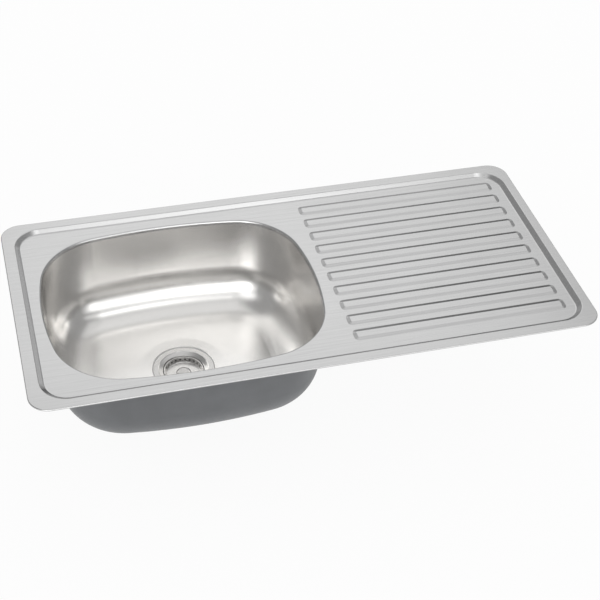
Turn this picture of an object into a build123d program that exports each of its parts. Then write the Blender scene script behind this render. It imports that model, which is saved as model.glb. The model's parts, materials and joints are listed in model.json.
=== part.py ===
"""Inset kitchen sink: one deep bowl on the left, a ribbed drainer on the right.

Units are millimetres. +X runs along the sink from the bowl to the drainer, +Y runs to the back
edge and +Z is up. The origin is the centre of the rim on the worktop's surface, where the rim rests.
"""
import os
from math import atan2, degrees, radians, tan

from build123d import *

os.makedirs("parts", exist_ok=True)

# ---------------------------------------------------------------- driving dimensions
# Pressed deck: a turned-down rim, a step, a sunk pan and the bowl's turned-in collar.
sink_length = 1000.0
sink_width = 500.0
corner_radius = 36.0
deck_sheet = 0.8
rim_rise = 2.5
rim_edge_bend = 1.5
step_run = 8.4
step_drop = 7.0
step_top_bend = 3.0
step_foot_bend = 5.0
border_left = 30.5
border_right = 25.5
border_side = 28.5
pan_corner_radius = 40.0
collar_bend = 4.0
collar_drop = 3.5
collar_width = 8.0

# Drainer ribs, raised from the pan.
rib_count = 10
rib_width = 28.0
rib_bowl_gap = 22.0
rib_end_margin = 18.5
rib_front_margin = 29.05
rib_back_margin = 19.65
rib_height = 2.0
rib_slope_run = 7.0
rib_corner_radius = 9.0
rib_top_bend = 3.0
rib_foot_bend = 2.0

# Bowl: an opening with bowed sides, nearly upright walls and a wide bottom radius.
bowl_length = 489.0
bowl_end_margin = 20.0
bowl_front_margin = 18.0
bowl_back_margin = 26.0
bowl_long_side_radius = 1000.0
bowl_short_side_radius = 500.0
bowl_corner_radius = 122.0
bowl_depth = 185.0
bowl_draft = 2.5
bowl_bottom_radius = 75.0
bowl_wall = 0.8
lap_margin = 0.5

# Fall of the floor to the waste, and the recess that the waste's flange sits in.
fall_radius = 80.0
fall_drop = 1.0
recess_radius = 58.5
recess_depth = 4.0
recess_wall_run = 1.2
recess_bend = 1.0
waste_hole_radius = 45.0

# Seal under the rim, and the sheets that damp the steel's ring.
rim_seal_gap = 0.7
rim_seal_width = 9.0
pad_thickness = 2.0
pad_corner_radius = 8.0
bowl_pad_gap = 4.0
bowl_pad_end_margin = 20.0
bowl_pad_side_margin = 35.0
drainer_pad_gap = 6.0
drainer_pad_side_margin = 91.5

# Hat-section braces under the drainer.
brace_sheet = 1.0
brace_web = 26.0
brace_flange = 11.0
brace_height = 14.0
brace_end_margin = 56.5
brace_rib_inset = 102.25
brace_bend = 2.0

# Swing-out fixing clips: bracket, pin, arm, screw and swivel pad.
clip_end_inset = 70.0
clip_bowl_gap = 36.0
clip_base_gap = 2.5
clip_base_depth = 18.0
clip_base_width = 15.0
clip_plate = 1.5
clip_ear_gap = 11.0
clip_ear_radius = 6.0
clip_pin_radius = 2.5
clip_pin_drop = 9.2
clip_rivet_radius = 4.0
clip_rivet_height = 1.0
clip_arm_width = 10.4
clip_arm_thickness = 2.5
clip_arm_bend = 2.5
clip_eye_radius = 5.0
clip_leg = 31.0
clip_foot = 39.0
clip_boss_radius = 5.2
clip_boss_height = 4.0
clip_screw_radius = 2.95
clip_screw_travel = 12.0
clip_head_radius = 5.0
clip_head_height = 4.0
clip_slot_width = 1.6
clip_slot_depth = 2.0
clip_pad_radius = 6.0
clip_pad_thickness = 2.5
clip_pad_chamfer = 0.6
clip_tip_radius = 2.0
clip_tip_length = 1.5
clip_standoff = 2.0
clip_head_gap = 1.0

# Basket strainer waste: flanged steel cup, seals, plastic body below and the screw between them.
flange_radius = 56.5
flange_sheet = 1.0
flange_edge_bend = 0.4
flange_seal_thickness = 1.5
flange_seal_width = 9.0
flange_ring_radius = 46.0
flange_ring_run = 1.0
flange_ring_drop = 0.7
flange_slope_drop = 2.7
cup_mouth_radius = 38.2
cup_mouth_bend = 1.8
cup_seat_radius = 37.4
cup_throat_radius = 34.0
cup_throat_run = 0.8
cup_throat_depth = 23.7
cup_bend = 0.7
cup_floor_bend = 3.0
cup_hole_radius = 5.5
cup_hole_circle = 20.0
cup_hole_count = 8
gasket_thickness = 1.5
body_flange_radius = 54.0
body_flange_thickness = 4.0
body_wall = 2.5
body_inner_radius = 42.0
body_straight = 44.0
body_funnel = 13.0
body_bend = 1.0
outlet_thread_radius = 23.9
outlet_bore_radius = 20.0
outlet_length = 24.0
outlet_chamfer = 1.0
boss_radius = 9.0
boss_gap = 1.5
boss_height = 14.0
web_thickness = 3.0
web_count = 3
insert_radius = 5.5
insert_length = 12.0
waste_screw_radius = 3.0
waste_screw_length = 22.0
waste_screw_head_radius = 8.0
waste_screw_head_height = 8.0
socket_depth = 5.0

# Lift-out basket: a shallow dish with a knob, a stem, a rubber seal and a catch.
basket_sheet = 0.8
basket_edge_bend = 0.3
basket_lip = 1.4
basket_rim_drop = 1.2
basket_depth = 9.5
basket_floor_radius = 32.0
basket_floor_bend = 1.5
basket_hole_radius = 1.7
basket_hole_count = 24
basket_seal_thickness = 3.0
basket_seal_inset = 0.6
knob_radius = 12.5
knob_height = 5.5
knob_dome_run = 2.6
knob_dome_drop = 1.3
knob_edge = 1.1
knob_under_rise = 0.5
knob_neck_radius = 5.5
stem_radius = 3.0
stem_grip = 3.0
stem_collar_radius = 10.0
stem_collar_height = 1.2
catch_length = 4.0
catch_wall = 1.0
catch_gap = 1.0

# Clearances: a running fit, a loose place in the cup, and the seal's rest on its seat.
running_clearance = 0.05
loose_clearance = 0.3
basket_clearance = 0.4
seat_clearance = 0.3
level_tolerance = 0.05

# ---------------------------------------------------------------- levels and places worked out from them
rim_underside = rim_rise - deck_sheet
pan_top = rim_rise - step_drop
pan_underside = pan_top - deck_sheet
pan_length = sink_length - border_left - border_right
pan_width = sink_width - 2 * border_side
pan_x = (border_left - border_right) / 2
block_depth = step_drop + 2 * deck_sheet
collar_bottom = pan_top - collar_bend - collar_drop

bowl_width = pan_width - bowl_front_margin - bowl_back_margin
bowl_x = bowl_end_margin + border_left + (bowl_length - sink_length) / 2
bowl_y = (bowl_front_margin - bowl_back_margin) / 2
bowl_right = bowl_x + bowl_length / 2
rib_start = bowl_right + rib_bowl_gap
rib_end = sink_length / 2 - border_right - rib_end_margin
rib_length = rib_end - rib_start
rib_pitch = (pan_width - rib_front_margin - rib_back_margin - rib_width) / (rib_count - 1)
drainer_x = (rib_start + rib_end) / 2
drainer_y = (rib_front_margin - rib_back_margin) / 2

floor_top = rim_rise - bowl_depth
lap_top = pan_top - collar_bend
lap_bottom = collar_bottom - lap_margin
wall_run = (lap_bottom - floor_top) * tan(radians(bowl_draft))
floor_half_length = bowl_length / 2 + deck_sheet - wall_run - bowl_bottom_radius
floor_half_width = bowl_width / 2 + deck_sheet - wall_run - bowl_bottom_radius
recess_edge = floor_top - fall_drop
recess_top = recess_edge - recess_depth
recess_underside = recess_top - bowl_wall

flange_underside = recess_top + flange_seal_thickness
flange_top = flange_underside + flange_sheet
mouth_top = flange_top - flange_ring_drop - flange_slope_drop
basket_rim = mouth_top - basket_rim_drop
basket_floor = basket_rim - basket_depth
basket_radius = cup_seat_radius - basket_clearance
seal_top = basket_floor - basket_sheet
seal_bottom = seal_top - basket_seal_thickness
cup_seat = seal_bottom - seat_clearance
cup_floor = cup_seat - cup_throat_depth
screw_head_top = cup_floor + waste_screw_head_height
socket_bottom = screw_head_top - socket_depth
stem_bottom = socket_bottom + catch_gap
knob_top = basket_floor + knob_height

body_top = recess_underside - gasket_thickness
funnel_top = body_top - body_straight
outlet_top = funnel_top - body_funnel
outlet_end = outlet_top - outlet_length
boss_top = cup_floor - flange_sheet - boss_gap
boss_bottom = boss_top - boss_height

brace_half_width = brace_web / 2 + brace_flange
brace_length = pan_width - 2 * brace_end_margin
brace_spacing = rib_length - 2 * brace_rib_inset
clip_middle_x = bowl_right + clip_bowl_gap
clip_base_start = border_side + clip_base_gap
clip_pin_y = clip_base_start + clip_base_depth / 2
clip_pin_z = pan_underside - clip_pin_drop
clip_foot_y = clip_pin_y + clip_leg
clip_foot_outer = clip_foot_y - clip_arm_thickness / 2
clip_foot_inner = clip_foot_y + clip_arm_thickness / 2
clip_screw_z = clip_pin_z - clip_foot
clip_shank_end = clip_foot_outer - clip_standoff
clip_shank_head = clip_foot_inner + clip_boss_height + clip_head_gap + clip_screw_travel

waste_plane = Plane(origin=(bowl_x, bowl_y, 0), x_dir=(1, 0, 0), z_dir=(0, -1, 0))
waste_axis = Axis((bowl_x, bowl_y, 0), (0, 0, 1))


# ---------------------------------------------------------------- profiles and helpers
def rounded_plate(inset, radius, level):
    """A rounded rectangle, set in from the sink's outer edge, at a level."""
    with BuildSketch(Plane.XY.offset(level)) as plate:
        RectangleRounded(sink_length - 2 * inset, sink_width - 2 * inset, radius)
    return plate.sketch


def pan_plate(run, level):
    """The sunk pan's outline, widened by a run all round, at a level."""
    with BuildSketch(Plane.XY.offset(level)) as plate:
        with Locations((pan_x, 0)):
            RectangleRounded(pan_length + 2 * run, pan_width + 2 * run, pan_corner_radius + run)
    return plate.sketch


def bowl_outline(level, grow):
    """The bowl's opening: four bowed sides with rounded corners, grown all round by a gap."""
    centre_x = bowl_length / 2 - bowl_short_side_radius
    centre_y = bowl_width / 2 - bowl_long_side_radius
    with BuildSketch(Plane.XY.offset(level)) as outline:
        with Locations((bowl_x, bowl_y + centre_y)):
            Circle(bowl_long_side_radius + grow)
        with Locations((bowl_x, bowl_y - centre_y)):
            Circle(bowl_long_side_radius + grow, mode=Mode.INTERSECT)
        with Locations((bowl_x + centre_x, bowl_y)):
            Circle(bowl_short_side_radius + grow, mode=Mode.INTERSECT)
        with Locations((bowl_x - centre_x, bowl_y)):
            Circle(bowl_short_side_radius + grow, mode=Mode.INTERSECT)
        fillet(outline.vertices(), bowl_corner_radius + grow)
    return outline.sketch


def turned_profile(*corners):
    """A face to turn about the waste's axis, from (radius, level, bend) corners in order."""
    points = [(radius, level) for radius, level, bend in corners]
    bends = [bend for radius, level, bend in corners]
    with BuildSketch(waste_plane) as profile:
        with BuildLine():
            FilletPolyline(*points, radius=bends, close=True)
        make_face()
    return profile.sketch


def level_faces(shape, level):
    """The shape's horizontal faces at a level."""
    flat_faces = shape.faces().filter_by(Plane.XY)
    return flat_faces.filter_by(lambda face: abs(face.center().Z - level) < level_tolerance)


def inner_edges(face):
    """The edges of all the holes in a face."""
    return ShapeList(edge for wire in face.inner_wires() for edge in wire.edges())


def write_piece(name, shape):
    """Labels a finished piece and writes it to its own file."""
    shape.label = name
    export_step(shape, f"parts/{name}.step")


# ---------------------------------------------------------------- deck
# The form's upper surface is the deck's. The form lowered by the sheet's thickness hollows it out.
with BuildPart() as deck_form:
    extrude(rounded_plate(0, corner_radius, 0), amount=rim_rise)
    fillet(level_faces(deck_form, rim_rise)[0].outer_wire().edges(), rim_edge_bend)
    extrude(pan_plate(step_run, -block_depth), amount=block_depth)
    add(pan_plate(0, pan_top))
    add(pan_plate(step_run, rim_rise))
    loft(ruled=True, mode=Mode.SUBTRACT)
    fillet(level_faces(deck_form, pan_top)[0].outer_wire().edges(), step_foot_bend)
    fillet(inner_edges(level_faces(deck_form, rim_rise)[0]), step_top_bend)
    with BuildSketch(Plane.XY.offset(pan_top)):
        with Locations((drainer_x, drainer_y)):
            with GridLocations(0, rib_pitch, 1, rib_count):
                RectangleRounded(rib_length, rib_width, rib_corner_radius)
    extrude(amount=rib_height, taper=degrees(atan2(rib_slope_run, rib_height)))
    rib_tops = level_faces(deck_form, pan_top + rib_height)
    fillet(ShapeList(edge for face in rib_tops for edge in face.outer_wire().edges()), rib_top_bend)
    fillet(inner_edges(level_faces(deck_form, pan_top)[0]), rib_foot_bend)

with BuildPart() as deck_hollow:
    add(deck_form.part.moved(Location((0, 0, -deck_sheet))))
    inner_block = rounded_plate(deck_sheet, corner_radius - deck_sheet, -2 * block_depth)
    extrude(inner_block, amount=2 * block_depth + rim_rise, mode=Mode.INTERSECT)

# The collar turns the pan's sheet down into the bowl.
with BuildPart() as collar:
    extrude(bowl_outline(collar_bottom, collar_width), amount=pan_top - collar_bottom)
    extrude(bowl_outline(collar_bottom, 0), amount=pan_top - collar_bottom, mode=Mode.SUBTRACT)
    fillet(inner_edges(level_faces(collar, pan_top)[0]), collar_bend)

with BuildPart() as collar_hollow:
    extrude(bowl_outline(collar_bottom, collar_width), amount=pan_underside - collar_bottom)
    collar_core = bowl_outline(collar_bottom, deck_sheet)
    extrude(collar_core, amount=pan_underside - collar_bottom, mode=Mode.SUBTRACT)
    fillet(inner_edges(level_faces(collar_hollow, pan_underside)[0]), collar_bend - deck_sheet)

with BuildPart() as sink_deck:
    add(deck_form.part)
    add(deck_hollow.part, mode=Mode.SUBTRACT)
    mouth_height = rim_rise - collar_bottom
    extrude(bowl_outline(collar_bottom, collar_width), amount=mouth_height, mode=Mode.SUBTRACT)
    add(collar.part)
    add(collar_hollow.part, mode=Mode.SUBTRACT)
write_piece("sink_deck", sink_deck.part)


# ---------------------------------------------------------------- bowl
def bowl_form(skin, top):
    """The bowl's inner form, thickened by a skin: an upright lap, drafted walls and the waste's recess."""
    floor = floor_top - skin
    with BuildPart() as form:
        extrude(bowl_outline(lap_bottom, deck_sheet + skin), amount=top - lap_bottom)
        extrude(bowl_outline(lap_bottom, deck_sheet + skin), amount=floor - lap_bottom, taper=bowl_draft)
        fillet(level_faces(form, floor)[0].outer_wire().edges(), bowl_bottom_radius + skin)
        revolve(
            turned_profile(
                (0, floor_top + recess_depth, 0),
                (fall_radius, floor_top + recess_depth, 0),
                (fall_radius, floor, 0),
                (recess_radius + skin, recess_edge - skin, recess_bend),
                (recess_radius - recess_wall_run + skin, recess_top - skin, recess_bend),
                (0, recess_top - skin, 0),
            ),
            axis=waste_axis,
        )
    return form.part


with BuildPart() as sink_bowl:
    add(bowl_form(bowl_wall, lap_top))
    add(bowl_form(0, pan_top), mode=Mode.SUBTRACT)
    with BuildSketch(Plane.XY.offset(recess_underside)):
        with Locations((bowl_x, bowl_y)):
            Circle(waste_hole_radius)
    extrude(amount=bowl_wall, mode=Mode.SUBTRACT)
write_piece("sink_bowl", sink_bowl.part)


# ---------------------------------------------------------------- seal and damping sheets
with BuildPart() as rim_seal:
    seal_outer_inset = deck_sheet + rim_seal_gap
    seal_inner_inset = seal_outer_inset + rim_seal_width
    extrude(rounded_plate(seal_outer_inset, corner_radius - seal_outer_inset, 0), amount=rim_underside)
    seal_core = rounded_plate(seal_inner_inset, corner_radius - seal_inner_inset, 0)
    extrude(seal_core, amount=rim_underside, mode=Mode.SUBTRACT)
write_piece("rim_seal", rim_seal.part)

with BuildPart() as bowl_pads:
    pad_start = fall_radius + bowl_pad_gap
    pad_end = floor_half_length - bowl_pad_end_margin
    pad_width = 2 * (floor_half_width - bowl_pad_side_margin)
    pad_middle = (pad_start + pad_end) / 2
    with BuildSketch(Plane.XY.offset(floor_top - bowl_wall)):
        with Locations((bowl_x - pad_middle, bowl_y), (bowl_x + pad_middle, bowl_y)):
            RectangleRounded(pad_end - pad_start, pad_width, pad_corner_radius)
    extrude(amount=-pad_thickness)
write_piece("bowl_damping_pads", bowl_pads.part)

with BuildPart() as drainer_pad:
    drainer_pad_length = brace_spacing - 2 * (brace_half_width + drainer_pad_gap)
    drainer_pad_width = pan_width - 2 * drainer_pad_side_margin
    with BuildSketch(Plane.XY.offset(pan_underside)):
        with Locations((drainer_x, drainer_y)):
            RectangleRounded(drainer_pad_length, drainer_pad_width, pad_corner_radius)
    extrude(amount=-pad_thickness)
write_piece("drainer_damping_pad", drainer_pad.part)


# ---------------------------------------------------------------- braces under the drainer
for name, side in (("left", -1), ("right", 1)):
    with BuildPart() as drainer_brace:
        brace_x = drainer_x + side * brace_spacing / 2
        with BuildSketch(Plane.XZ.offset(-drainer_y)) as hat:
            with Locations((brace_x, pan_underside - brace_sheet / 2)):
                Rectangle(2 * brace_half_width, brace_sheet)
            with Locations((brace_x, pan_underside - brace_height / 2)):
                Rectangle(brace_web, brace_height)
            fillet(hat.vertices().group_by(Axis.Y)[0], brace_bend)
        extrude(amount=brace_length / 2, both=True)
        with BuildSketch(Plane.XZ.offset(-drainer_y)) as channel:
            with Locations((brace_x, pan_underside + brace_sheet - brace_height / 2)):
                Rectangle(brace_web - 2 * brace_sheet, brace_height)
            fillet(channel.vertices().group_by(Axis.Y)[0], brace_bend - brace_sheet)
        extrude(amount=brace_length / 2, both=True, mode=Mode.SUBTRACT)
    write_piece(f"drainer_brace_{name}", drainer_brace.part)


# ---------------------------------------------------------------- fixing clips
# A clip is drawn at the front edge, folded in and with its screw drawn back: +Y points inwards and Y = 0 is
# the rim's outer edge.
def pin_plane(x):
    """The plane across the pivot pin, with the pin's centre as its origin."""
    return Plane(origin=(x, clip_pin_y, clip_pin_z), x_dir=(0, 1, 0), z_dir=(1, 0, 0))


def screw_plane(y):
    """The plane across the screw, facing inwards, with the screw's centre as its origin."""
    return Plane(origin=(0, y, clip_screw_z), x_dir=(-1, 0, 0), z_dir=(0, 1, 0))


with BuildPart() as clip_bracket:
    with BuildSketch(Plane.XY.offset(pan_underside)):
        with Locations((0, clip_pin_y)):
            Rectangle(clip_base_width, clip_base_depth)
    extrude(amount=-clip_plate)
    ear_height = clip_pin_drop - clip_plate / 2
    for side in (-1, 1):
        with BuildSketch(pin_plane(side * clip_ear_gap / 2)):
            Circle(clip_ear_radius)
            with Locations((0, ear_height / 2)):
                Rectangle(2 * clip_ear_radius, ear_height)
            Circle(clip_pin_radius + running_clearance, mode=Mode.SUBTRACT)
        extrude(amount=side * clip_plate)

with BuildPart() as clip_pin:
    pin_half_length = clip_ear_gap / 2 + clip_plate
    with BuildSketch(pin_plane(0)):
        Circle(clip_pin_radius)
    extrude(amount=pin_half_length, both=True)
    for side in (-1, 1):
        with BuildSketch(pin_plane(side * pin_half_length)):
            Circle(clip_rivet_radius)
        extrude(amount=side * clip_rivet_height)

with BuildPart() as clip_arm:
    foot_length = clip_foot + clip_boss_radius + clip_arm_thickness / 2
    with BuildSketch(pin_plane(0)) as arm_side:
        with Locations((clip_leg / 2, 0)):
            Rectangle(clip_leg + clip_arm_thickness, clip_arm_thickness)
        with Locations((clip_leg, clip_arm_thickness / 2 - foot_length / 2)):
            Rectangle(clip_arm_thickness, foot_length)
        fillet(arm_side.vertices().group_by(Axis.X)[-1].sort_by(Axis.Y)[-1], clip_arm_bend)
        Circle(clip_eye_radius)
        Circle(clip_pin_radius + running_clearance, mode=Mode.SUBTRACT)
    extrude(amount=clip_arm_width / 2, both=True)
    foot_end = clip_arm.edges().filter_by(Axis.Y).group_by(Axis.Z)[0]
    fillet(foot_end, clip_arm_width / 2 - running_clearance)
    with BuildSketch(screw_plane(clip_foot_inner)):
        Circle(clip_boss_radius)
    extrude(amount=clip_boss_height)
    with BuildSketch(screw_plane(clip_foot_outer)):
        Circle(clip_screw_radius + running_clearance)
    extrude(amount=clip_arm_thickness + clip_boss_height, mode=Mode.SUBTRACT)

with BuildPart() as clip_screw:
    with BuildSketch(screw_plane(clip_shank_end)):
        Circle(clip_screw_radius)
    extrude(amount=clip_shank_head - clip_shank_end)
    with BuildSketch(screw_plane(clip_shank_end)):
        Circle(clip_tip_radius)
    extrude(amount=-clip_tip_length)
    with BuildSketch(screw_plane(clip_shank_head)):
        Circle(clip_head_radius)
    extrude(amount=clip_head_height)
    with BuildSketch(screw_plane(clip_shank_head + clip_head_height)):
        Rectangle(2 * clip_head_radius, clip_slot_width)
        Rectangle(clip_slot_width, 2 * clip_head_radius)
    extrude(amount=-clip_slot_depth, mode=Mode.SUBTRACT)

with BuildPart() as clip_pad:
    with BuildSketch(screw_plane(clip_shank_end)):
        Circle(clip_pad_radius)
    extrude(amount=-clip_pad_thickness)
    chamfer(clip_pad.edges().group_by(Axis.Y)[0], clip_pad_chamfer)
    with BuildSketch(screw_plane(clip_shank_end)):
        Circle(clip_tip_radius + running_clearance)
    extrude(amount=-clip_tip_length - running_clearance, mode=Mode.SUBTRACT)

# Three clips along the front edge and three along the back.
clip_end_x = sink_length / 2 - clip_end_inset
clip_columns = (("left", -clip_end_x), ("middle", clip_middle_x), ("right", clip_end_x))
clip_places = []
for column, clip_x in clip_columns:
    clip_places.append((f"front_{column}", Location((clip_x, -sink_width / 2, 0))))
    clip_places.append((f"back_{column}", Location((clip_x, sink_width / 2, 0), (0, 0, 180))))

with BuildPart() as clip_brackets:
    add([clip_bracket.part.moved(place) for label, place in clip_places])
write_piece("clip_brackets", clip_brackets.part)

with BuildPart() as clip_pins:
    add([clip_pin.part.moved(place) for label, place in clip_places])
write_piece("clip_pins", clip_pins.part)

for label, place in clip_places:
    write_piece(f"clip_arm_{label}", clip_arm.part.moved(place))
    write_piece(f"clip_screw_{label}", clip_screw.part.moved(place))
    write_piece(f"clip_pad_{label}", clip_pad.part.moved(place))


# ---------------------------------------------------------------- strainer waste
with BuildPart() as strainer_cup:
    throat_foot = cup_throat_radius - cup_throat_run
    ring_level = flange_top - flange_ring_drop
    revolve(
        turned_profile(
            (0, cup_floor, 0),
            (throat_foot, cup_floor, cup_floor_bend),
            (cup_throat_radius, cup_seat, cup_bend),
            (cup_seat_radius, cup_seat, cup_bend),
            (cup_mouth_radius, mouth_top, cup_mouth_bend),
            (flange_ring_radius, ring_level, cup_bend),
            (flange_ring_radius + flange_ring_run, flange_top, cup_bend / 2),
            (flange_radius, flange_top, flange_edge_bend),
            (flange_radius, flange_underside, flange_edge_bend),
            (flange_ring_radius + flange_ring_run / 2, flange_underside, cup_bend / 2),
            (flange_ring_radius - flange_ring_run / 2, ring_level - flange_sheet, cup_bend / 2),
            (cup_mouth_radius + flange_sheet, mouth_top - flange_sheet, cup_mouth_bend + flange_sheet),
            (cup_seat_radius + flange_sheet, cup_seat - flange_sheet, cup_bend),
            (cup_throat_radius + flange_sheet, cup_seat - flange_sheet, cup_bend),
            (throat_foot + flange_sheet, cup_floor - flange_sheet, cup_floor_bend + flange_sheet),
            (0, cup_floor - flange_sheet, 0),
        ),
        axis=waste_axis,
    )
    with BuildSketch(Plane.XY.offset(cup_floor - flange_sheet)):
        with Locations((bowl_x, bowl_y)):
            Circle(waste_screw_radius + running_clearance)
            with PolarLocations(cup_hole_circle, cup_hole_count):
                Circle(cup_hole_radius)
    extrude(amount=flange_sheet, mode=Mode.SUBTRACT)
write_piece("strainer_cup", strainer_cup.part)

with BuildPart() as flange_seal:
    with BuildSketch(Plane.XY.offset(recess_top)):
        with Locations((bowl_x, bowl_y)):
            Circle(flange_radius - flange_edge_bend)
            Circle(flange_radius - flange_edge_bend - flange_seal_width, mode=Mode.SUBTRACT)
    extrude(amount=flange_seal_thickness)
write_piece("flange_seal", flange_seal.part)

with BuildPart() as waste_gasket:
    with BuildSketch(Plane.XY.offset(body_top)):
        with Locations((bowl_x, bowl_y)):
            Circle(body_flange_radius - body_bend)
            Circle(waste_hole_radius, mode=Mode.SUBTRACT)
    extrude(amount=gasket_thickness)
write_piece("waste_gasket", waste_gasket.part)

with BuildPart() as body_cavity:
    revolve(
        turned_profile(
            (0, body_top, 0),
            (body_inner_radius, body_top, 0),
            (body_inner_radius, funnel_top, body_bend),
            (outlet_bore_radius, outlet_top, body_bend),
            (outlet_bore_radius, outlet_end, 0),
            (0, outlet_end, 0),
        ),
        axis=waste_axis,
    )
    with BuildSketch(Plane.XY.offset(boss_bottom)):
        with Locations((bowl_x, bowl_y)):
            Circle(boss_radius)
            with PolarLocations(body_inner_radius / 2, web_count):
                Rectangle(body_inner_radius + body_wall, web_thickness)
    extrude(amount=boss_height, mode=Mode.SUBTRACT)

with BuildPart() as waste_body:
    body_outer_radius = body_inner_radius + body_wall
    revolve(
        turned_profile(
            (0, body_top, 0),
            (body_flange_radius, body_top, body_bend / 2),
            (body_flange_radius, body_top - body_flange_thickness, body_bend),
            (body_outer_radius, body_top - body_flange_thickness, body_bend),
            (body_outer_radius, funnel_top, body_bend),
            (outlet_thread_radius, outlet_top - body_wall, body_bend),
            (outlet_thread_radius, outlet_end, outlet_chamfer),
            (0, outlet_end, 0),
        ),
        axis=waste_axis,
    )
    add(body_cavity.part, mode=Mode.SUBTRACT)
    with BuildSketch(Plane.XY.offset(boss_top)):
        with Locations((bowl_x, bowl_y)):
            Circle(insert_radius)
    extrude(amount=-insert_length, mode=Mode.SUBTRACT)
    with BuildSketch(Plane.XY.offset(boss_bottom)):
        with Locations((bowl_x, bowl_y)):
            Circle(waste_screw_radius + loose_clearance)
    extrude(amount=boss_height, mode=Mode.SUBTRACT)
write_piece("waste_body", waste_body.part)

with BuildPart() as waste_insert:
    with BuildSketch(Plane.XY.offset(boss_top)):
        with Locations((bowl_x, bowl_y)):
            Circle(insert_radius)
            Circle(waste_screw_radius + running_clearance, mode=Mode.SUBTRACT)
    extrude(amount=-insert_length)
write_piece("waste_insert", waste_insert.part)

with BuildPart() as waste_screw:
    socket_radius = stem_radius + catch_wall + loose_clearance
    revolve(
        turned_profile(
            (0, socket_bottom, 0),
            (socket_radius, socket_bottom, 0),
            (socket_radius, screw_head_top, 0),
            (waste_screw_head_radius, screw_head_top, cup_bend),
            (waste_screw_head_radius, cup_floor, 0),
            (waste_screw_radius, cup_floor, 0),
            (waste_screw_radius, cup_floor - waste_screw_length, flange_edge_bend),
            (0, cup_floor - waste_screw_length, 0),
        ),
        axis=waste_axis,
    )
write_piece("waste_screw", waste_screw.part)


# ---------------------------------------------------------------- lift-out basket
with BuildPart() as strainer_basket:
    wall_top_radius = basket_radius - basket_lip
    revolve(
        turned_profile(
            (0, basket_floor, 0),
            (basket_floor_radius, basket_floor, basket_floor_bend),
            (wall_top_radius, basket_rim, basket_sheet / 2),
            (basket_radius, basket_rim, basket_edge_bend),
            (basket_radius, basket_rim - basket_sheet, basket_edge_bend),
            (wall_top_radius + basket_sheet, basket_rim - basket_sheet, 0),
            (basket_floor_radius + basket_sheet, basket_floor - basket_sheet, basket_floor_bend),
            (0, basket_floor - basket_sheet, 0),
        ),
        axis=waste_axis,
    )
    with Locations((bowl_x, bowl_y, (basket_rim + basket_floor) / 2)):
        with PolarLocations(wall_top_radius, basket_hole_count):
            Cylinder(basket_hole_radius, basket_depth, rotation=(0, 90, 0), mode=Mode.SUBTRACT)
    with BuildSketch(Plane.XY.offset(basket_floor)):
        with Locations((bowl_x, bowl_y)):
            Circle(stem_radius + running_clearance)
    extrude(amount=-basket_sheet, mode=Mode.SUBTRACT)
write_piece("strainer_basket", strainer_basket.part)

with BuildPart() as basket_seal:
    with BuildSketch(Plane.XY.offset(seal_bottom)):
        with Locations((bowl_x, bowl_y)):
            Circle(basket_radius - basket_seal_inset)
            Circle(stem_radius + running_clearance, mode=Mode.SUBTRACT)
    extrude(amount=basket_seal_thickness)
write_piece("basket_seal", basket_seal.part)

with BuildPart() as basket_knob:
    dome_edge = knob_top - knob_dome_drop
    under_edge = dome_edge - knob_edge
    revolve(
        turned_profile(
            (0, knob_top, 0),
            (knob_radius - knob_dome_run, knob_top, knob_dome_run),
            (knob_radius, dome_edge, knob_edge / 2),
            (knob_radius, under_edge, knob_edge / 3),
            (knob_neck_radius, under_edge + knob_under_rise, knob_under_rise),
            (knob_neck_radius, basket_floor, 0),
            (stem_radius + running_clearance, basket_floor, 0),
            (stem_radius + running_clearance, basket_floor + stem_grip, 0),
            (0, basket_floor + stem_grip, 0),
        ),
        axis=waste_axis,
    )
write_piece("basket_knob", basket_knob.part)

with BuildPart() as basket_stem:
    revolve(
        turned_profile(
            (0, basket_floor + stem_grip, 0),
            (stem_radius, basket_floor + stem_grip, 0),
            (stem_radius, seal_bottom, 0),
            (stem_collar_radius, seal_bottom, 0),
            (stem_collar_radius, seal_bottom - stem_collar_height, flange_edge_bend),
            (stem_radius, seal_bottom - stem_collar_height, 0),
            (stem_radius, stem_bottom, flange_edge_bend),
            (0, stem_bottom, 0),
        ),
        axis=waste_axis,
    )
write_piece("basket_stem", basket_stem.part)

with BuildPart() as stem_catch:
    with BuildSketch(Plane.XY.offset(stem_bottom)):
        with Locations((bowl_x, bowl_y)):
            Circle(stem_radius + catch_wall)
            Circle(stem_radius + running_clearance, mode=Mode.SUBTRACT)
    extrude(amount=catch_length)
write_piece("stem_catch", stem_catch.part)
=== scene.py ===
"""Looks for an inset stainless steel kitchen sink with one bowl and a ribbed drainer. Metres."""
import json
import math

import bpy
from mathutils import Matrix, Vector


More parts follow.
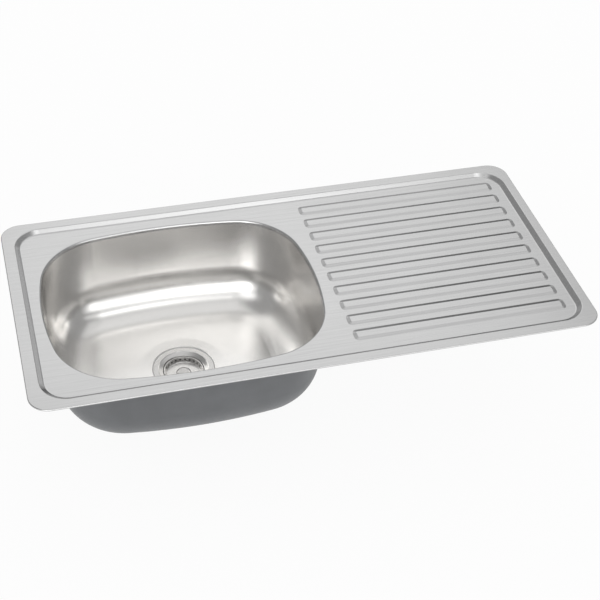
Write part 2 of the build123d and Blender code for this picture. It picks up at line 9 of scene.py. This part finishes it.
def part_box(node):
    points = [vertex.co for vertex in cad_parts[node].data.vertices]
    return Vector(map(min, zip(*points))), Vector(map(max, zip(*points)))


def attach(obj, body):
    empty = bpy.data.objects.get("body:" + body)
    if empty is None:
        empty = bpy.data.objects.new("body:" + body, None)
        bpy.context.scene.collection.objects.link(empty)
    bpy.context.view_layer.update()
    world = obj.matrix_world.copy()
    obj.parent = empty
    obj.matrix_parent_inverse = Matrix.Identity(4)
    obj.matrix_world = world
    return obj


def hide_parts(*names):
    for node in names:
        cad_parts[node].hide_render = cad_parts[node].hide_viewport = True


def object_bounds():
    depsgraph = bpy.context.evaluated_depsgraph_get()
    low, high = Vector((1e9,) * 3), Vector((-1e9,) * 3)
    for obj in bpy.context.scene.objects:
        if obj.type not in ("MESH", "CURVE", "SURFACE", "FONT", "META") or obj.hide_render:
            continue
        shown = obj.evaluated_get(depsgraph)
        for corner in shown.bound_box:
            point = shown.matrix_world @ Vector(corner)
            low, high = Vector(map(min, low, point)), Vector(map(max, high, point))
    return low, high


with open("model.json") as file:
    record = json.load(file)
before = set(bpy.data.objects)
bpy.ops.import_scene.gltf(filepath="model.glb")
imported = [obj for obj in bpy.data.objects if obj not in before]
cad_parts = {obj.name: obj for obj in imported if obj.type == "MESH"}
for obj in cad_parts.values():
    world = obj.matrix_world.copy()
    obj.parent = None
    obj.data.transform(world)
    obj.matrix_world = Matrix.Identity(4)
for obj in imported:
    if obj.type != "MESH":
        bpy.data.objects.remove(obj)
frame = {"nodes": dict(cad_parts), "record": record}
cad_low, cad_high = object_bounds()
nodes = frame["nodes"]

MM = 0.001

# The deck's brushing: noise scales along X, Y and Z for the single hairs and for the bands of them,
# how far bands differ in tone as a share of the hairs' own, and how far both differ in roughness.
HAIR_SCALE = (14.0, 1500.0, 1500.0)
BAND_SCALE = (5.0, 260.0, 260.0)
BAND_STREAK_SHARE = 0.8
HAIR_ROUGHNESS = 0.02
HAIR_DEPTH = 0.01 * MM
CLOUD_SCALE = 7.0
CLOUD_TONE = 0.015
# Slow changes in gloss, on the deck's bands and over the drawn and satin steel.
SLOW_SCALE = 9.0
SLOW_ROUGHNESS = 0.03
SATIN_TONE = 0.04
SATIN_DEPTH = 0.006 * MM
# Galvanised sheet, turned parts, and the cloudiness of rubber, plastic and the bowl's matt grey outside.
SPANGLE_SCALE = 160.0
ZINC_GRAIN = 700.0
ZINC_DEPTH = 0.02 * MM
TURNED_GRAIN = 900.0
TURNED_GLOSS_SCALE = 160.0
TURNED_DEPTH = 0.01 * MM
DULL_CLOUD_SCALE = 22.0
DULL_ROUGHNESS = 0.06
# How much more a warm grey loses in blue than it gains in red.
BLUE_LOSS = 1.6


# ---------------------------------------------------------------- material helpers
class Shader:
    """A material with one Principled shader, and helpers that add nodes and link them by socket."""

    def __init__(self, name):
        self.material = bpy.data.materials.new(name)
        self.material.use_nodes = True
        self.tree = self.material.node_tree
        self.tree.nodes.clear()
        self.output = self.add("ShaderNodeOutputMaterial")
        self.main = self.add("ShaderNodeBsdfPrincipled")
        self.link(self.main, "BSDF", self.output, "Surface")
        self.place = self.add("ShaderNodeTexCoord")

    def add(self, kind):
        return self.tree.nodes.new(kind)

    def link(self, a, out, b, into):
        self.tree.links.new(a.outputs[out], b.inputs[into])

    def set(self, **values):
        for key, value in values.items():
            self.main.inputs[key.replace("_", " ")].default_value = value

    def stretch(self, scale):
        """Object coordinates times a scale, one factor an axis."""
        mapping = self.add("ShaderNodeMapping")
        mapping.inputs["Scale"].default_value = scale
        self.link(self.place, "Object", mapping, "Vector")
        return mapping

    def noise(self, scale, detail=3.0, rough=0.5, vector=None):
        made = self.add("ShaderNodeTexNoise")
        made.inputs["Scale"].default_value = scale
        made.inputs["Detail"].default_value = detail
        made.inputs["Roughness"].default_value = rough
        if vector is None:
            self.link(self.place, "Object", made, "Vector")
        else:
            self.link(vector, "Vector", made, "Vector")
        return made

    def spread(self, source, low, high, start=0.3, end=0.7, out="Fac"):
        """A noise value turned into a number between low and high."""
        made = self.add("ShaderNodeMapRange")
        made.inputs["From Min"].default_value = start
        made.inputs["From Max"].default_value = end
        made.inputs["To Min"].default_value = low
        made.inputs["To Max"].default_value = high
        self.link(source, out, made, "Value")
        return made

    def math(self, kind, a, b):
        """The first outputs of two nodes, added or multiplied."""
        made = self.add("ShaderNodeMath")
        made.operation = kind
        self.link(a, 0, made, 0)
        self.link(b, 0, made, 1)
        return made

    def tint(self, source, dark, light, start=0.3, end=0.7, out="Fac"):
        """A noise value turned into a colour between two."""
        made = self.add("ShaderNodeValToRGB")
        made.color_ramp.elements[0].position = start
        made.color_ramp.elements[0].color = (*dark, 1)
        made.color_ramp.elements[1].position = end
        made.color_ramp.elements[1].color = (*light, 1)
        self.link(source, out, made, "Fac")
        return made

    def bump(self, source, distance, strength=0.5):
        """Fine relief on the whole surface, its depth in metres."""
        made = self.add("ShaderNodeBump")
        made.inputs["Distance"].default_value = distance
        made.inputs["Strength"].default_value = strength
        self.link(source, "Fac", made, "Height")
        self.link(made, "Normal", self.main, "Normal")


def grey(value, warm=0.0):
    """A grey, warmer when warm is above zero."""
    return (value * (1 + warm), value, value * (1 - BLUE_LOSS * warm))


def brushed_steel(name, tone, roughness, aniso, streak):
    """Steel with a fine grain that runs along X: streak is how far single hairs differ in tone."""
    s = Shader(name)
    s.set(Metallic=1.0, Anisotropic=aniso)
    hair = s.noise(1.0, 2.0, 0.6, s.stretch(HAIR_SCALE))
    band = s.noise(1.0, 3.0, 0.55, s.stretch(BAND_SCALE))
    cloud = s.noise(CLOUD_SCALE, 2.0)
    wide_streak = streak * BAND_STREAK_SHARE
    light = s.math(
        "MULTIPLY",
        s.spread(hair, 1 - streak, 1 + streak),
        s.spread(band, 1 - wide_streak, 1 + wide_streak),
    )
    light = s.math("MULTIPLY", light, s.spread(cloud, 1 - CLOUD_TONE, 1 + CLOUD_TONE))
    colour = s.add("ShaderNodeVectorMath")
    colour.operation = "SCALE"
    colour.inputs[0].default_value = grey(tone)
    s.link(light, "Value", colour, "Scale")
    s.link(colour, "Vector", s.main, "Base Color")
    uneven = s.spread(band, roughness - SLOW_ROUGHNESS, roughness + SLOW_ROUGHNESS)
    rough = s.math("ADD", uneven, s.spread(hair, -HAIR_ROUGHNESS, HAIR_ROUGHNESS))
    s.link(rough, "Value", s.main, "Roughness")
    tangent = s.add("ShaderNodeCombineXYZ")
    tangent.inputs["X"].default_value = 1.0
    s.link(tangent, "Vector", s.main, "Tangent")
    s.bump(hair, HAIR_DEPTH)
    return s


def satin_steel(name, tone, warm, roughness, grain=900.0):
    """Steel with an even, fine satin grain. Its whole range of roughness ends at 0.27 at most."""
    s = Shader(name)
    s.set(Metallic=1.0)
    fine = s.noise(grain, 2.0, 0.6)
    slow = s.noise(SLOW_SCALE, 2.0)
    dark, light = grey(tone * (1 - SATIN_TONE), warm), grey(tone * (1 + SATIN_TONE), warm)
    s.link(s.tint(fine, dark, light), "Color", s.main, "Base Color")
    gloss = s.spread(slow, roughness - SLOW_ROUGHNESS, roughness + SLOW_ROUGHNESS)
    s.link(gloss, "Result", s.main, "Roughness")
    s.bump(fine, SATIN_DEPTH)
    return s


def zinc(name, tone):
    """Galvanised sheet with faint spangles."""
    s = Shader(name)
    s.set(Metallic=1.0)
    cells = s.add("ShaderNodeTexVoronoi")
    cells.inputs["Scale"].default_value = SPANGLE_SCALE
    s.link(s.place, "Object", cells, "Vector")
    parted = s.add("ShaderNodeSeparateColor")
    s.link(cells, "Color", parted, "Color")
    dark = (tone * 0.88, tone * 0.9, tone * 0.93)
    light = (tone, tone * 1.01, tone * 1.03)
    s.link(s.tint(parted, dark, light, 0.0, 1.0, "Red"), "Color", s.main, "Base Color")
    s.link(s.spread(parted, 0.34, 0.48, 0.0, 1.0, "Green"), "Result", s.main, "Roughness")
    s.bump(s.noise(ZINC_GRAIN), ZINC_DEPTH)
    return s


def turned_metal(name, colour, roughness):
    """A turned or plated small metal part."""
    s = Shader(name)
    s.set(Metallic=1.0)
    marks = s.noise(TURNED_GRAIN, 2.0)
    dark = tuple(c * 0.9 for c in colour)
    s.link(s.tint(marks, dark, colour), "Color", s.main, "Base Color")
    gloss = s.spread(s.noise(TURNED_GLOSS_SCALE), roughness - 0.05, roughness + 0.06)
    s.link(gloss, "Result", s.main, "Roughness")
    s.bump(marks, TURNED_DEPTH)
    return s


def dull(name, colour, roughness, grain, depth, shade=0.85):
    """Rubber, plastic or a matt grey: fine grain depth deep, a little cloudiness in colour and gloss."""
    s = Shader(name)
    fine = s.noise(grain, 3.0, 0.6)
    cloud = s.noise(DULL_CLOUD_SCALE)
    dark = tuple(c * shade for c in colour)
    s.link(s.tint(cloud, dark, colour), "Color", s.main, "Base Color")
    gloss = s.spread(fine, roughness - DULL_ROUGHNESS, roughness + DULL_ROUGHNESS)
    s.link(gloss, "Result", s.main, "Roughness")
    s.bump(fine, depth, 0.6)
    return s


materials = {
    "pressed_steel": brushed_steel("deck_brushed_steel", 0.60, 0.22, 0.6, 0.06),
    "satin_steel": satin_steel("bowl_satin_steel", 0.79, 0.012, 0.235, 1100.0),
    "waste_steel": satin_steel("waste_polished_steel", 0.58, 0.01, 0.20),
    "basket_steel": satin_steel("basket_satin_steel", 0.66, 0.01, 0.24),
    "knob_steel": satin_steel("knob_satin_steel", 0.52, 0.01, 0.225),
    "galvanised_steel": zinc("galvanised_sheet", 0.62),
    "clip_rivet_steel": turned_metal("rivet_steel", (0.60, 0.60, 0.60), 0.35),
    "clip_screw_steel": turned_metal("zinc_plated_screw", (0.66, 0.65, 0.60), 0.28),
    "black_seal": dull("black_foam_seal", (0.035, 0.035, 0.037), 0.85, 900.0, 0.08 * MM, 0.7),
    "basket_rubber": dull("black_rubber", (0.03, 0.03, 0.032), 0.55, 700.0, 0.03 * MM),
    "damping_sheet": dull("bitumen_damping_sheet", (0.05, 0.05, 0.055), 0.7, 350.0, 0.2 * MM, 0.7),
    "pad_plastic": dull("clip_pad_plastic", (0.72, 0.70, 0.64), 0.5, 500.0, 0.03 * MM, 0.93),
    "waste_plastic": dull("waste_white_plastic", (0.78, 0.78, 0.76), 0.38, 260.0, 0.03 * MM, 0.95),
    "catch_plastic": dull("catch_white_plastic", (0.80, 0.80, 0.79), 0.45, 500.0, 0.02 * MM, 0.95),
    "insert_brass": turned_metal("insert_brass", (0.70, 0.52, 0.24), 0.3),
}
for entry in frame["record"]["subparts"]:
    item = nodes[entry["node"]]
    item.data.materials.clear()
    item.data.materials.append(materials[entry["material_slot"]].material)

putty = dull("flange_putty", (0.60, 0.60, 0.59), 0.5, 700.0, 0.03 * MM, 0.9)
nodes["flange_seal"].data.materials[0] = putty.material
outer_matt_grey = dull("bowl_outer_matt_grey", (0.150, 0.156, 0.163), 0.42, 420.0, 0.06 * MM, 0.86)


# ---------------------------------------------------------------- bowl: bare inside, matt dark grey outside
def bowl_grey_outside():
    """The bowl's shell with its outer faces given a matt dark grey."""
    source = nodes["sink_bowl"]
    shell = bpy.data.objects.new("bowl_shell", source.data.copy())
    bpy.context.scene.collection.objects.link(shell)
    mesh = shell.data
    mesh.materials.clear()
    mesh.materials.append(materials["satin_steel"].material)
    mesh.materials.append(outer_matt_grey.material)
    low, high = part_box("sink_bowl")
    middle = (low + high) / 2
    top_edge = high.z - 0.1 * MM
    for face in mesh.polygons:
        outward = (face.center - middle).dot(face.normal) > 0
        face.material_index = 1 if outward and face.center.z < top_edge else 0
    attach(shell, "sink")
    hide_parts("sink_bowl")


# ---------------------------------------------------------------- thin rings of the waste
# Sections in millimetres: out from the edge of the flange or the knob, and up from its top.
PUTTY_SECTION = [
    (-0.3, 0.05), (-0.3, -0.7), (1.6, -0.7), (1.95, 0.75), (1.6, 0.62), (1.0, 0.36), (0.4, 0.15),
]
# The knob's black ring is painted shade: it stands for the shaded groove round the knob's edge.
KNOB_SHADE_RING_SECTION = [(-0.3, -1.15), (-0.3, -2.5), (0.7, -2.5), (1.0, -2.2), (1.0, -1.75), (0.6, -1.3)]
RING_STEPS = 160


def turned_ring(name, box, section, material, body):
    """A ring round the top edge of a round piece, given by that piece's box."""
    low, high = box
    centre = (low + high) / 2
    edge = (high.x - low.x) / 2
    outline = [(edge + out * MM, high.z + up * MM) for out, up in section]
    count = len(outline)
    verts, faces = [], []
    for step in range(RING_STEPS):
        angle = 2 * math.pi * step / RING_STEPS
        for radius, level in outline:
            across, away = radius * math.cos(angle), radius * math.sin(angle)
            verts.append((centre.x + across, centre.y + away, level))
        here, there = step * count, (step + 1) % RING_STEPS * count
        for i in range(count):
            j = (i + 1) % count
            faces.append((here + i, there + i, there + j, here + j))
    mesh = bpy.data.meshes.new(name)
    mesh.from_pydata(verts, [], faces)
    mesh.shade_smooth()
    mesh.materials.append(material)
    made = bpy.data.objects.new(name, mesh)
    bpy.context.scene.collection.objects.link(made)
    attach(made, body)


def waste_rings():
    """The putty squeezed out round the waste's flange, and a black ring round the knob's edge: painted
    shade of the groove there.
    """
    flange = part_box("strainer_cup")
    turned_ring("flange_putty_bead", flange, PUTTY_SECTION, putty.material, "sink")
    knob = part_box("basket_knob")
    # Black for the painted shade in the groove round the knob.
    groove_shade_black = materials["basket_rubber"].material
    turned_ring("knob_groove_shade_ring", knob, KNOB_SHADE_RING_SECTION, groove_shade_black, "basket")


# ---------------------------------------------------------------- the studio's light
# Directions are slopes from straight up: across is +X over height, away is +Y over height.
# Every pair of numbers is where a field of light fades in or out. The rest are strengths and shares.
HORIZON = 0.02

# The window: one wide soft light above and behind the sink.
WINDOW = 1.21
LEFT = (-0.34, 0.02)
RIGHT = (0.27, 0.40)
SIDELONG = 0.88
FAR = (0.50, 0.80)
SLANT = 0.1
NOTCH = (0.24, 0.34)
NOTCH_SLANT = 0.35
NOTCH_DEPTH = 0.6
FALL = (1.12, 1.42)
FALL_SHARE = 0.89
BACK = (1.6, 2.6)
NEAR = (0.90, 1.12)
NEAR_DEPTH = 0.36
NEAR_END = (0.32, 0.44)

# Round the window a dim wall, and low behind the sink the horizon: dark, but for two lit parts.
DIM = 0.35
DARK = (2.6, 4.0)
LOW = 0.10
LOW_LEFT = 0.45
LOW_TURN = (0.24, 0.33)
GLOW = 0.6
GLOW_START = (0.45, 0.62)

# In front of the sink: a bright room low down, a ceiling above it, and a bright band between them.
TURN = (-0.40, -0.15)
ROOM = 2.4
CEILING = 0.62
UPWARD = (-1.15, -0.80)
BAND = 1.7
BAND_FOOT = (-0.72, -0.62)
BAND_HEAD = (-0.50, -0.38)
BAND_LEFT = (-0.05, 0.20)
BAND_LEFT_SHARE = 0.2
SHY = (0.26, 0.38)
SHY_SHARE = 0.45
SIDE = (0.50, 0.75)

# A pair of soft lights left and right, in the front.
PAIR = 0.7
PAIR_INNER = (0.18, 0.36)
PAIR_OUTER = (0.48, 0.66)

# The even light that matt surfaces get.
EVEN = 0.9
WHITE = (1, 1, 1, 1)


def white_studio():
    """A white world for the camera, an even one for matt surfaces, and a lit room for mirrored rays."""
    world = bpy.data.worlds.new("studio")
    bpy.context.scene.world = world
    world.use_nodes = True
    tree = world.node_tree
    tree.nodes.clear()

    def add(kind, **sockets):
        made = tree.nodes.new(kind)
        for key, value in sockets.items():
            made.inputs[key].default_value = value
        return made

    def join(kind, a, b=0.0):
        """A Math node on numbers or sockets."""
        made = tree.nodes.new("ShaderNodeMath")
        made.operation = kind
        for slot, value in enumerate((a, b)):
            if isinstance(value, (int, float)):
                made.inputs[slot].default_value = value
            else:
                tree.links.new(value, made.inputs[slot])
        return made.outputs["Value"]

    def product(first, *rest):
        for value in rest:
            first = join("MULTIPLY", first, value)
        return first

    def total(first, *rest):
        for value in rest:
            first = join("ADD", first, value)
        return first

    def rest_of(value):
        return join("SUBTRACT", 1.0, value)

    def slanted(share):
        return join("SUBTRACT", across, product(away, share))

    def fade(value, start, end, low, high):
        """From low at start to high at end, smoothly."""
        made = tree.nodes.new("ShaderNodeMapRange")
        made.interpolation_type = "SMOOTHSTEP"
        tree.links.new(value, made.inputs["Value"])
        for key, number in zip(("From Min", "From Max", "To Min", "To Max"), (start, end, low, high)):
            made.inputs[key].default_value = number
        return made.outputs["Result"]

    place = add("ShaderNodeTexCoord")
    parts = add("ShaderNodeSeparateXYZ")
    tree.links.new(place.outputs["Generated"], parts.inputs["Vector"])
    x, y, z = (parts.outputs[axis] for axis in "XYZ")
    height = join("MAXIMUM", z, HORIZON)
    across = join("DIVIDE", x, height)
    away = join("DIVIDE", y, height)
    wide = join("ABSOLUTE", x)

    near = product(fade(away, *NEAR, NEAR_DEPTH, 0.0), fade(across, *NEAR_END, 1.0, 0.0))
    window = product(
        fade(across, *LEFT, 0.0, 1.0),
        fade(slanted(SLANT), *RIGHT, 1.0, SIDELONG),
        fade(slanted(SLANT), *FAR, 1.0, 0.0),
        fade(slanted(NOTCH_SLANT), *NOTCH, 1.0, NOTCH_DEPTH),
        fade(away, *BACK, 1.0, 0.0),
        fade(away, *FALL, 1.0, FALL_SHARE),
        rest_of(near),
    )
    sunk = fade(away, *DARK, 0.0, 1.0)
    horizon = total(fade(x, *LOW_TURN, LOW_LEFT, LOW), fade(x, *GLOW_START, 0.0, GLOW))
    wall = total(product(rest_of(sunk), DIM), product(sunk, horizon))
    behind = total(product(window, WINDOW - DIM), wall)

    # Upwards of the room only the left one of the pair is lit.
    leftward = join("LESS_THAN", x, 0.0)
    pair = product(
        fade(wide, *PAIR_INNER, 0.0, 1.0),
        fade(wide, *PAIR_OUTER, 1.0, 0.0),
        join("MAXIMUM", leftward, fade(away, *UPWARD, 1.0, 0.0)),
        PAIR,
    )
    band = product(
        fade(away, *BAND_FOOT, 0.0, BAND),
        fade(away, *BAND_HEAD, 1.0, 0.0),
        fade(across, *BAND_LEFT, BAND_LEFT_SHARE, 1.0),
    )
    side = fade(wide, *SIDE, 0.0, 1.0)
    front = product(
        total(fade(away, *UPWARD, ROOM, CEILING), band),
        fade(across, *SHY, 1.0, SHY_SHARE),
        rest_of(side),
    )
    room = total(front, product(side, DIM), pair)
    turn = fade(away, *TURN, 0.0, 1.0)
    glow = total(product(room, rest_of(turn)), product(behind, turn))

    lit = add("ShaderNodeBackground", Color=WHITE)
    tree.links.new(glow, lit.inputs["Strength"])
    even = add("ShaderNodeBackground", Color=WHITE, Strength=EVEN)
    seen = add("ShaderNodeBackground", Color=WHITE, Strength=1.0)
    rays = add("ShaderNodeLightPath")
    soft = add("ShaderNodeMixShader")
    tree.links.new(rays.outputs["Is Diffuse Ray"], soft.inputs["Fac"])
    tree.links.new(lit.outputs["Background"], soft.inputs[1])
    tree.links.new(even.outputs["Background"], soft.inputs[2])
    mix = add("ShaderNodeMixShader")
    tree.links.new(rays.outputs["Is Camera Ray"], mix.inputs["Fac"])
    tree.links.new(soft.outputs["Shader"], mix.inputs[1])
    tree.links.new(seen.outputs["Background"], mix.inputs[2])
    out = add("ShaderNodeOutputWorld")
    tree.links.new(mix.outputs["Shader"], out.inputs["Surface"])


# ---------------------------------------------------------------- floor and camera
FLOOR_GAP = 0.5 * MM
FLOOR_HALF = 12.0
FLOOR_GREY = 0.80
FLOOR_WHITE_SHARE = 0.93

CAMERA_PLACE = (-0.5350, -1.8362, 1.5599)
CAMERA_YAW, CAMERA_PITCH, CAMERA_ROLL = 16.702, 40.251, -2.616
CAMERA_SENSOR_MM, CAMERA_LENS_MM = 36.0, 81.85
CAMERA_REACH = 60.0


def pale_floor():
    """A pale floor that shows near white to the camera and to mirrored rays, with a soft shadow."""
    level = cad_low[2] - FLOOR_GAP
    mesh = bpy.data.meshes.new("floor")
    corners = [(sx * FLOOR_HALF, sy * FLOOR_HALF, level) for sx, sy in ((-1, -1), (1, -1), (1, 1), (-1, 1))]
    mesh.from_pydata(corners, [], [(0, 1, 2, 3)])
    floor = bpy.data.objects.new("floor", mesh)
    bpy.context.scene.collection.objects.link(floor)
    s = Shader("pale_floor")
    s.set(Base_Color=(FLOOR_GREY, FLOOR_GREY, FLOOR_GREY, 1), Roughness=0.9, Specular_IOR_Level=0.1)
    rays = s.add("ShaderNodeLightPath")
    mirrored = s.add("ShaderNodeMath")
    mirrored.operation = "MAXIMUM"
    s.link(rays, "Is Glossy Ray", mirrored, 0)
    s.link(rays, "Is Transmission Ray", mirrored, 1)
    seen = s.add("ShaderNodeMath")
    seen.operation = "MAXIMUM"
    s.link(rays, "Is Camera Ray", seen, 0)
    s.link(mirrored, "Value", seen, 1)
    share = s.add("ShaderNodeMath")
    share.operation = "MULTIPLY"
    s.link(seen, "Value", share, 0)
    share.inputs[1].default_value = FLOOR_WHITE_SHARE
    mix = s.add("ShaderNodeMixShader")
    s.link(share, "Value", mix, "Fac")
    s.link(s.main, "BSDF", mix, 1)
    s.link(s.add("ShaderNodeEmission"), "Emission", mix, 2)
    s.link(mix, "Shader", s.output, "Surface")
    mesh.materials.append(s.material)


def photo_camera():
    """The camera solved from the photo: its place, and its turn as yaw, pitch and roll."""
    yaw, pitch, roll = (math.radians(angle) for angle in (CAMERA_YAW, CAMERA_PITCH, CAMERA_ROLL))
    forward = Vector((math.sin(yaw) * math.cos(pitch), math.cos(yaw) * math.cos(pitch), -math.sin(pitch)))
    level = Vector((math.cos(yaw), -math.sin(yaw), 0))
    down = forward.cross(level)
    right = math.cos(roll) * level + math.sin(roll) * down
    below = -math.sin(roll) * level + math.cos(roll) * down
    data = bpy.data.cameras.new("camera")
    data.sensor_width = CAMERA_SENSOR_MM
    data.lens = CAMERA_LENS_MM
    data.clip_end = CAMERA_REACH
    camera = bpy.data.objects.new("camera", data)
    bpy.context.scene.collection.objects.link(camera)
    turn = Matrix((right, -below, -forward)).transposed()
    camera.matrix_world = Matrix.Translation(CAMERA_PLACE) @ turn.to_4x4()
    bpy.context.scene.camera = camera


bowl_grey_outside()
waste_rings()
white_studio()
pale_floor()
photo_camera()
bpy.context.scene.view_settings.view_transform = "Standard"
